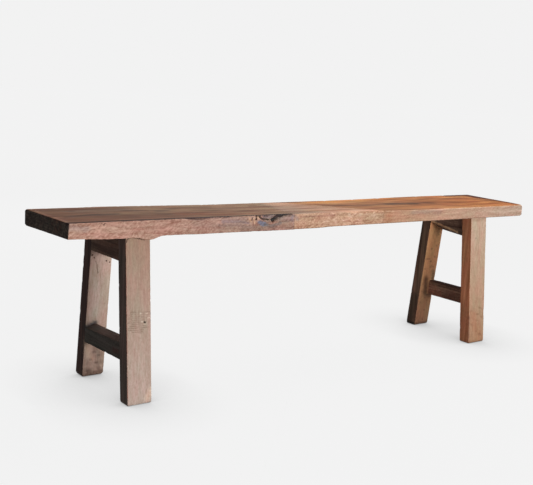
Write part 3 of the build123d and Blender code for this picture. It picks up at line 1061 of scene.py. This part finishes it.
left_top_rail = rail("left_top_rail", "left", seed=41.0, top_gap=SUNK)
left_rail = finish_piece("left_top_rail", left_top_rail, dark_rail_wood)
right_rail = finish_piece("right_top_rail", right_top_rail(), dark_rail_wood)
counterbore(left_rail, "left_seat_screws")
counterbore(right_rail, "right_seat_screws")
finish_piece("left_stretcher", left_stretcher(), grey_rail_wood)
finish_piece("right_stretcher", right_stretcher(), red_rail_wood)

# Pegs, tongues and screws keep their CAD shapes

PEG_TAN = ("#b8977c", "#b8977c")
peg_wood = old_timber("dry_peg_wood", Look(
    grain="X", start=-0.7, end=0.7, side=PEG_TAN, top=PEG_TAN, left=PEG_TAN, sway=1 * MM,
))
screw_steel = zinc_steel()
for node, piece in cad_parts.items():
    if "peg" in node or "tongue" in node or "screw" in node:
        piece.data.materials.clear()
        piece.data.materials.append(screw_steel if "screw" in node else peg_wood)

# Camera, floor and light


def add_camera():
    heading, tilt, roll = [math.radians(a) for a in (CAMERA_HEADING, CAMERA_TILT, CAMERA_ROLL)]
    ahead = Vector((math.sin(heading) * math.cos(tilt), math.cos(heading) * math.cos(tilt), math.sin(tilt)))
    level = Vector((math.cos(heading), -math.sin(heading), 0))
    up = level.cross(ahead)
    right = level * math.cos(roll) + up * math.sin(roll)
    top = up * math.cos(roll) - level * math.sin(roll)
    data = bpy.data.cameras.new("camera")
    data.sensor_width = SENSOR_WIDTH
    data.lens = FOCAL_PIXELS * SENSOR_WIDTH / IMAGE_WIDTH
    camera = bpy.data.objects.new("camera", data)
    turn = Matrix((right, top, -ahead)).transposed().to_4x4()
    camera.matrix_world = Matrix.Translation(CAMERA_PLACE) @ turn
    bpy.context.scene.collection.objects.link(camera)
    bpy.context.scene.camera = camera


STUDIO_WHITE = "#f2f2f2"
FLOOR_REACH = 60
PAPER_TOOTH = 4 * MM
# The paper glows a little less near the bench, where the softboxes' own light adds to it
GLOW_NEAR = 0.874
GLOW_FAR = 0.887
GLOW_REACH = 6.0
# The glow makes the paper pale. Its own colour is dark, so that the softboxes leave no bright pools on it
FLOOR_PAPER = "#1c1c1c"
# Close to the feet the glow is darkened by ambient occlusion, a painted shadow, down to this share of it
SHADE_REACH = 0.24
DEEPEST_SHADE = 0.3
# Strength of the even light from all round
FILL = 0.18


def studio_paper():
    """Pale backdrop paper, lit from behind so that only faint soft shadows fall on it, and with a painted
    shadow darkening its glow close to the feet.
    """
    material, tree, shader = new_tree("studio_paper")
    place = add_node(tree, "TexCoord", {}).outputs["Object"]
    tooth = add_node(
        tree, "TexNoise", {"Vector": place, "Scale": 1 / PAPER_TOOTH, "Detail": 2.0},
    ).outputs["Fac"]
    bump = add_node(tree, "Bump", {"Height": tooth, "Strength": 0.1, "Distance": 0.2 * MM}).outputs[0]
    tree.links.new(bump, shader.inputs["Normal"])
    away = add_node(tree, "VectorMath", {0: place}, operation="LENGTH").outputs["Value"]
    glow = add_node(
        tree, "MapRange", {"Value": away, "From Max": GLOW_REACH, "To Min": GLOW_NEAR, "To Max": GLOW_FAR},
    ).outputs[0]
    # Painted shadow: ambient occlusion darkens the glow near the feet
    open_share = add_node(tree, "AmbientOcclusion", {"Distance": SHADE_REACH}).outputs["AO"]
    shade = add_node(tree, "MapRange", {"Value": open_share, "To Min": DEEPEST_SHADE}).outputs[0]
    glow_with_painted_shadow = maths(tree, "MULTIPLY", glow, shade)
    tree.links.new(glow_with_painted_shadow, shader.inputs["Emission Strength"])
    shader.inputs["Emission Color"].default_value = (1, 1, 1, 1)
    shader.inputs["Base Color"].default_value = linear(FLOOR_PAPER)
    shader.inputs["Roughness"].default_value = 0.95
    shader.inputs["Specular IOR Level"].default_value = 0.0
    return material


def add_floor():
    bm = bmesh.new()
    bmesh.ops.create_grid(bm, x_segments=1, y_segments=1, size=FLOOR_REACH)
    mesh = bpy.data.meshes.new("floor")
    bm.to_mesh(mesh)
    bm.free()
    mesh.materials.append(studio_paper())
    floor = bpy.data.objects.new("floor", mesh)
    floor.visible_diffuse = False
    floor.visible_glossy = False
    bpy.context.scene.collection.objects.link(floor)


def add_softbox(name, place, aim, width, height, power, shiny=True):
    data = bpy.data.lights.new(name, "AREA")
    data.shape = "RECTANGLE"
    data.size = width
    data.size_y = height
    data.energy = power
    lamp = bpy.data.objects.new(name, data)
    lamp.location = place
    lamp.rotation_euler = (Vector(aim) - Vector(place)).to_track_quat("-Z", "Y").to_euler()
    lamp.visible_camera = False
    lamp.visible_glossy = shiny
    bpy.context.scene.collection.objects.link(lamp)


def add_world():
    """Pale to the camera, and a weak even fill on the bench."""
    world = bpy.data.worlds.new("studio")
    bpy.context.scene.world = world
    world.use_nodes = True
    tree = world.node_tree
    fill = tree.nodes["Background"]
    fill.inputs["Color"].default_value = (1, 1, 1, 1)
    fill.inputs["Strength"].default_value = FILL
    seen = add_node(tree, "Background", {"Color": linear(STUDIO_WHITE)}).outputs[0]
    to_camera = add_node(tree, "LightPath", {}).outputs["Is Camera Ray"]
    both = add_node(tree, "MixShader", {0: to_camera, 1: fill.outputs[0], 2: seen}).outputs[0]
    tree.links.new(both, tree.nodes["World Output"].inputs["Surface"])


add_camera()
add_floor()
add_world()
add_softbox("front_softbox", (0.35, -2.2, 0.66), aim=(0.1, 0, 0.3), width=1.6, height=0.7, power=60)
add_softbox("top_softbox", (0.6, 0.5, 2.3), aim=(0.1, 0, 0.4), width=1.6, height=1.2, power=40)
add_softbox("back_softbox", (0.2, 3.2, 1.5), aim=(0, 0, 0.25), width=1.6, height=0.8, power=45, shiny=False)
bpy.context.scene.view_settings.view_transform = "Standard"
